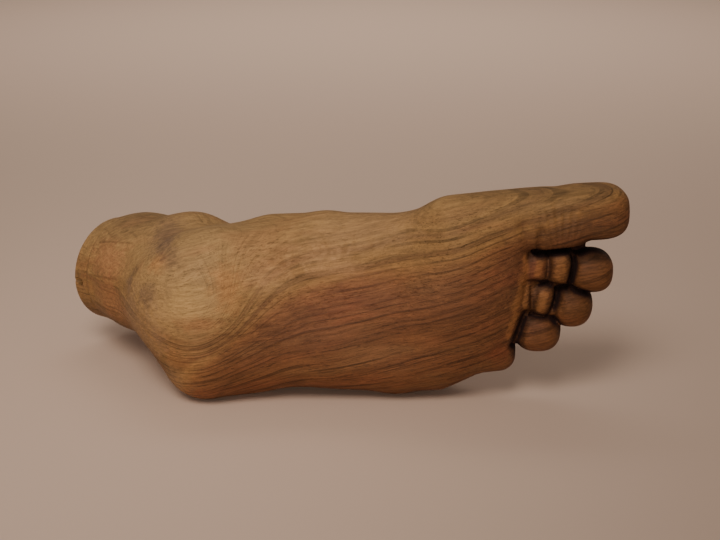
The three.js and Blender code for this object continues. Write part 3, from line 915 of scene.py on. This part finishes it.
# The wood's colour at each depth under the bark.
WOOD_TONES = [
    (0, srgb(160, 127, 84)),
    (12.5, srgb(155, 120, 75)),
    (15, srgb(138, 104, 64)),
    (16.4, srgb(152, 116, 71)),
    (17.8, srgb(123, 91, 57)),
    (19, srgb(148, 112, 68)),
    (20.6, srgb(142, 107, 65)),
    (21.8, srgb(114, 82, 50)),
    (23, srgb(148, 109, 65)),
    (26, srgb(137, 93, 57)),
    (29, srgb(122, 81, 51)),
    (37, srgb(118, 76, 49)),
    (38, srgb(102, 66, 42)),
    (41, srgb(120, 78, 49)),
    (54, srgb(115, 73, 46)),
    (70, srgb(108, 70, 42)),
]
DEEPEST_TONE = WOOD_TONES[-1][0]
RUDDY = srgb(146, 86, 57)
OLIVE = srgb(113, 87, 55)
FRESHLY_CUT = srgb(204, 138, 80)
# Painted shade with grime, in the gaps and creases, and the near black of the deepest of them.
SHADE_AND_DIRT = srgb(54, 28, 21)
DEEP_SHADE_AND_DIRT = srgb(18, 10, 12)

# Patches where the wood is darker, paler or ruddier, a few of them painted shadow or painted light: place,
# size, colour and strength.
STAINS_AND_PAINTED_LIGHT = [
    ((-52.5, -10.0, 38.8), (4.6, 5.0, 3.2), srgb(180, 118, 66), 0.6),
    ((-61.5, -3.0, 30.5), (3.0, 3.6, 2.6), srgb(84, 64, 56), 0.85),
    ((-54.5, -13.5, 30.5), (4.0, 5.0, 5.0), srgb(98, 76, 64), 0.75),
    ((-60.0, -3.5, 34.5), (2.4, 3.0, 3.8), srgb(74, 54, 38), 0.75),
    ((-51.0, -4.0, 41.5), (4.0, 9.0, 4.0), srgb(98, 74, 63), 0.75),
    ((-52.5, 5.0, 42.5), (6.4, 15.0, 6.0), srgb(96, 73, 63), 0.8),
    ((-48.5, -11.5, 40.5), (3.4, 5.0, 4.0), srgb(101, 76, 63), 0.75),
    ((-72.0, 12.0, 32.5), (13.0, 13.0, 6.6), srgb(162, 101, 70), 0.65),
    ((-70.0, 7.0, 21.0), (13.0, 13.0, 6.6), srgb(150, 94, 66), 0.65),
    ((-43.0, -20.0, 31.0), (7.0, 6.0, 7.5), srgb(181, 144, 88), 0.7),
    ((-33.0, -17.5, 34.5), (5.4, 6.0, 8.5), srgb(172, 112, 62), 0.6),
    ((-40.5, -20.5, 25.0), (7.0, 6.0, 2.4), srgb(150, 92, 55), 0.65),
    ((-46.5, -19.0, 14.5), (6.0, 6.0, 3.4), srgb(150, 94, 56), 0.5),
    ((-47.5, -15.0, 8.0), (7.0, 8.0, 5.5), srgb(152, 120, 88), 0.6),
    ((39.5, -16.0, 15.0), (4.5, 6.0, 4.0), srgb(118, 58, 36), 0.6),
    ((43.5, -17.0, 40.0), (8.5, 6.0, 13.0), srgb(84, 48, 36), 0.6),
    ((48.5, -16.0, 38.5), (4.0, 4.0, 4.6), srgb(108, 54, 38), 0.75),
    ((55.3, -15.5, 38.8), (3.8, 4.0, 4.8), srgb(64, 40, 20), 0.85),
    ((49.0, -15.0, 28.6), (5.8, 4.0, 5.0), srgb(60, 36, 20), 0.85),
    # Painted shadow cast by the toe above, on the upper halves of the tips of the third and fourth toes.
    ((57.0, -16.0, 30.8), (7.0, 5.0, 3.6), srgb(44, 26, 20), 0.7),
    ((49.5, -15.5, 22.8), (5.5, 5.0, 2.6), srgb(44, 26, 16), 0.7),
    ((-65.0, 22.0, 42.0), (14.0, 16.0, 7.0), srgb(93, 70, 48), 0.75),
    ((60.0, -12.0, 31.0), (19.0, 14.0, 20.0), srgb(88, 52, 18), 0.65),
    ((66.0, -14.0, 50.0), (10.0, 10.0, 10.0), srgb(90, 62, 40), 0.75),
    ((56.0, -17.0, 49.5), (11.0, 8.0, 8.5), srgb(84, 57, 40), 0.75),
    ((-39.0, -21.0, 21.0), (17.0, 8.0, 7.0), srgb(98, 66, 42), 0.6),
    ((-18.0, -17.0, 25.5), (15.0, 8.0, 8.0), srgb(92, 54, 36), 0.6),
    ((4.0, -17.0, 33.0), (18.0, 8.0, 7.0), srgb(100, 54, 34), 0.55),
    ((-22.0, -16.0, 36.5), (9.0, 8.0, 5.0), srgb(190, 148, 104), 0.5),
    ((-9.0, -15.5, 41.0), (11.0, 8.0, 4.5), srgb(190, 148, 104), 0.5),
    ((-4.0, -16.0, 38.8), (10.0, 8.0, 4.0), srgb(190, 144, 100), 0.5),
    ((-26.0, -19.0, 19.5), (16.0, 8.0, 6.5), srgb(84, 50, 26), 0.6),
    ((-6.0, -17.0, 30.0), (13.0, 8.0, 6.0), srgb(96, 52, 34), 0.5),
    ((-36.0, -18.0, 12.0), (11.0, 8.0, 5.4), srgb(90, 57, 29), 0.6),
    ((-52.0, -13.0, 21.0), (5.5, 8.0, 9.0), srgb(146, 118, 94), 0.5),
    ((-46.0, -15.0, 40.0), (7.0, 8.0, 5.0), srgb(116, 89, 60), 0.5),
    ((-59.0, -6.0, 22.0), (7.0, 12.0, 12.0), srgb(142, 114, 90), 0.6),
    # Painted light: paler on the top of the middle of the foot, which faces the light from above.
    ((2.0, -8.0, 50.0), (20.0, 14.0, 9.0), srgb(184, 144, 104), 0.45),
    ((30.0, -20.0, 28.0), (16.0, 12.0, 14.0), srgb(84, 52, 33), 0.5),
    ((53.0, -12.0, 56.5), (16.0, 9.0, 5.0), srgb(128, 97, 60), 0.6),
]


def placed(nodes, tree, values, *outputs):
    """A node group inside a material, and those of its outputs that are asked for."""
    first = nodes.add("ShaderNodeGroup", values, outputs[0], node_tree=tree)
    return [first.node.outputs[name] for name in outputs]


def tone_at(nodes, tone_depth):
    """The wood's colour at a depth under the bark."""
    ramp = nodes.tree.nodes.new("ShaderNodeValToRGB")
    stops = ramp.color_ramp.elements
    while len(stops) < len(WOOD_TONES):
        stops.new(1.0)
    for stop, (at, colour) in zip(stops, WOOD_TONES):
        stop.position = at / DEEPEST_TONE
        stop.color = colour
    nodes.tree.links.new(nodes.math("DIVIDE", tone_depth, DEEPEST_TONE), ramp.inputs["Fac"])
    return ramp.outputs["Color"]


def drifted(nodes, colour, drift, in_heart):
    """The colour where it drifts slowly towards a ruddier or a more olive wood."""
    ruddy = nodes.smooth(in_heart, 0.0, 1.0, 0.2, 0.4)
    ruddy = nodes.math("MULTIPLY", nodes.smooth(drift, 0.5, 0.7), ruddy)
    colour = nodes.mix(ruddy, colour, RUDDY)
    return nodes.mix(nodes.smooth(drift, 0.5, 0.32, 0.0, 0.5), colour, nodes.mix(0.5, colour, OLIVE))


def lined(nodes, colour, point, depth, in_heart, lines, hairs):
    """The colour with its dark lines, which are stronger in the heartwood, near the toes and low down."""
    near_toes = nodes.smooth(nodes.dot(point, (1.0, 0.0, 0.0)), 10.0, 40.0, 1.0, 1.3)
    low_down = nodes.smooth(nodes.dot(point, (0.0, 0.0, 1.0)), 24.0, 10.0, 1.0, 1.6)
    darkness = nodes.math("MULTIPLY", lines, nodes.smooth(depth, 9.0, 19.0, 0.3, 0.8))
    hair_strength = nodes.smooth(in_heart, 0.0, 1.0, 0.3, 0.75)
    darkness = nodes.math("MULTIPLY_ADD", hairs, hair_strength, darkness)
    darkness = nodes.math("MULTIPLY", darkness, nodes.math("MAXIMUM", near_toes, low_down))
    return nodes.mix(nodes.math("MINIMUM", darkness, 1.0), colour, nodes.scaled(colour, 0.48))


def stained_and_painted_light(nodes, groups, colour, point, grain):
    """The colour with its patches, painted shadow and light among them, and with the paler cuts across the
    fibres.
    """
    for place, size, tint, strength in STAINS_AND_PAINTED_LIGHT:
        values = {"Point": point, "Place": place, "Size": size}
        (mask,) = placed(nodes, groups["soft_spot"], values, "Mask")
        tinted = nodes.scaled(nodes.mix(0.6, colour, tint), grain)
        colour = nodes.mix(nodes.math("MULTIPLY", mask, strength), colour, tinted)
    chipped = nodes.noise(point, 0.7, 4.0, 0.75)
    fresh = nodes.math("MULTIPLY_ADD", chipped, 2.4, nodes.attribute("fresh"))
    fresh = nodes.smooth(fresh, 1.25, 2.35)
    pale = nodes.scaled(nodes.mix(0.45, FRESHLY_CUT, colour), grain)
    return nodes.mix(nodes.math("MULTIPLY", fresh, 0.45), colour, pale)


def shaded_and_soiled(nodes, colour):
    """The colour with painted shade in sunk places and painted shade and grime in the gaps and creases, and
    the strength of the latter.
    """
    hollow, crease = nodes.attribute("hollow"), nodes.attribute("crease")
    # Painted shade: darker where other wood rises close round, as on the toe pads between the ball and the
    # tips.
    colour = nodes.scaled(colour, nodes.smooth(nodes.attribute("sunk"), 0.12, 0.7, 1.0, 0.45))
    # Painted shade and grime in narrow gaps and along creases, near black in the deepest.
    in_gaps, in_creases = nodes.smooth(hollow, 0.4, 1.0), nodes.smooth(crease, 0.35, 1.05, 0.0, 0.9)
    shade_and_dirt = nodes.math("MAXIMUM", in_gaps, in_creases)
    colour = nodes.mix(nodes.math("MULTIPLY", shade_and_dirt, 0.9), colour, SHADE_AND_DIRT)
    deep = nodes.smooth(nodes.math("MAXIMUM", hollow, crease), 0.7, 1.1)
    return nodes.mix(nodes.math("MULTIPLY", deep, 0.85), colour, DEEP_SHADE_AND_DIRT), shade_and_dirt


def wood(name, groups, sawn):
    """The foot's wood, or the darker wood of the sawn end, which has no patches."""
    material = bpy.data.materials.new(name)
    material.use_nodes = True
    nodes = Nodes(material.node_tree)
    shader = nodes.tree.nodes["Principled BSDF"]
    seen_from = nodes.add("ShaderNodeTexCoord", output="Object")
    to_working = {"Vector": seen_from, "Location": FRAME_ORIGIN, "Scale": [1 / MM] * 3}
    point = nodes.add("ShaderNodeMapping", to_working)
    depth, tone_depth = placed(nodes, groups["rings"], {"Point": point}, "Depth", "Tone Depth")
    lines, hairs = placed(nodes, groups["lines"], {"Point": point, "Depth": depth}, "Lines", "Hairs")
    streaks, pores, drift = placed(nodes, groups["fibres"], {"Point": point}, "Streaks", "Pores", "Drift")

    in_heart = nodes.smooth(tone_depth, 20.0, 31.0)
    grain = nodes.smooth(streaks, 0.25, 0.75, 0.72, 1.26)
    colour = drifted(nodes, tone_at(nodes, tone_depth), drift, in_heart)
    colour = lined(nodes, colour, point, depth, in_heart, lines, hairs)
    colour = nodes.scaled(colour, grain)
    colour = nodes.mix(nodes.math("MULTIPLY", pores, 0.6), colour, nodes.scaled(colour, 0.42))
    if not sawn:
        colour = stained_and_painted_light(nodes, groups, colour, point, grain)
    colour, shade_and_dirt = shaded_and_soiled(nodes, colour)
    if sawn:
        colour = nodes.scaled(colour, 0.82)
    nodes.tree.links.new(colour, shader.inputs["Base Color"])

    rough = nodes.math("MULTIPLY", nodes.math("SUBTRACT", 1.0, streaks), 0.16)
    rough = nodes.math("ADD", 0.56, rough)
    rough = nodes.math("SUBTRACT", rough, nodes.math("MULTIPLY", nodes.attribute("edge"), 0.1))
    rough = nodes.math("MULTIPLY_ADD", shade_and_dirt, 0.3, rough)
    nodes.tree.links.new(rough, shader.inputs["Roughness"])
    shader.inputs["Specular IOR Level"].default_value = 0.22

    ridges = nodes.math("ADD", nodes.math("MULTIPLY", lines, 0.4), nodes.math("MULTIPLY", streaks, 0.7))
    height = nodes.math("SUBTRACT", ridges, nodes.math("MULTIPLY", pores, 0.8))
    bump = nodes.add("ShaderNodeBump", {"Height": height, "Distance": 0.00015, "Strength": 0.7})
    nodes.tree.links.new(bump, shader.inputs["Normal"])
    return material


groups = {"rings": growth_rings(), "lines": grain_lines(), "fibres": fibres(), "soft_spot": soft_spot()}
carved_wood = wood("carved wood", groups, sawn=False)
sawn_wood = wood("sawn wood", groups, sawn=True)

foot_piece = marked(carved_foot(), carved_wood, sawn_wood)
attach(foot_piece, "root")
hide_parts("carved_foot")

# A plain pale floor, the camera, the lamps and a little light from all round.
floor_mesh = bpy.data.meshes.new("floor")
floor_mesh.from_pydata([(-4, -4, 0), (4, -4, 0), (4, 4, 0), (-4, 4, 0)], [], [(0, 1, 2, 3)])
floor = bpy.data.objects.new("floor", floor_mesh)
bpy.context.scene.collection.objects.link(floor)
pale = bpy.data.materials.new("pale floor")
pale.use_nodes = True
pale_shader = pale.node_tree.nodes["Principled BSDF"]
pale_shader.inputs["Base Color"].default_value = srgb(206, 180, 162)
pale_shader.inputs["Roughness"].default_value = 0.85
floor.data.materials.append(pale)

camera = bpy.data.objects.new("camera", bpy.data.cameras.new("camera"))
bpy.context.scene.collection.objects.link(camera)
bpy.context.scene.camera = camera
camera.data.lens = 62.7
camera.data.clip_start = 0.01
camera.location = (0.00715, -0.3439, 0.1439)
look = Vector((0.00715, -0.0215, 0.036)) - camera.location
camera.rotation_euler = look.to_track_quat("-Z", "Y").to_euler()


def soft_lamp(name, place, aim, power, size, spread):
    """A square lamp that shines from a place towards a point; the spread is in degrees."""
    lamp = bpy.data.objects.new(name, bpy.data.lights.new(name, "AREA"))
    lamp.data.energy = power
    lamp.data.color = (1.0, 0.9, 0.8)
    lamp.data.size = size
    lamp.data.spread = math.radians(spread)
    lamp.location = place
    lamp.rotation_euler = (Vector(aim) - lamp.location).to_track_quat("-Z", "Y").to_euler()
    bpy.context.scene.collection.objects.link(lamp)


# A wide soft lamp above and in front and a lower one in front, whose light fades away from the heel, and
# one over the far floor.
HEEL = (-0.05, -0.01, 0.02)
FAR_FLOOR = (0.0, 0.75, 0.0)
soft_lamp("key light", (-0.12, -0.34, 0.46), HEEL, 0.24, 0.26, 54)
soft_lamp("front light", (-0.12, -0.6, 0.12), HEEL, 0.13, 0.26, 50)
soft_lamp("far light", (0.0, 0.75, 0.8), FAR_FLOOR, 2.4, 0.9, 84)
world = bpy.data.worlds.new("world")
bpy.context.scene.world = world
world.use_nodes = True
world.node_tree.nodes["Background"].inputs["Color"].default_value = (1.0, 0.9, 0.82, 1)
world.node_tree.nodes["Background"].inputs["Strength"].default_value = 0.2
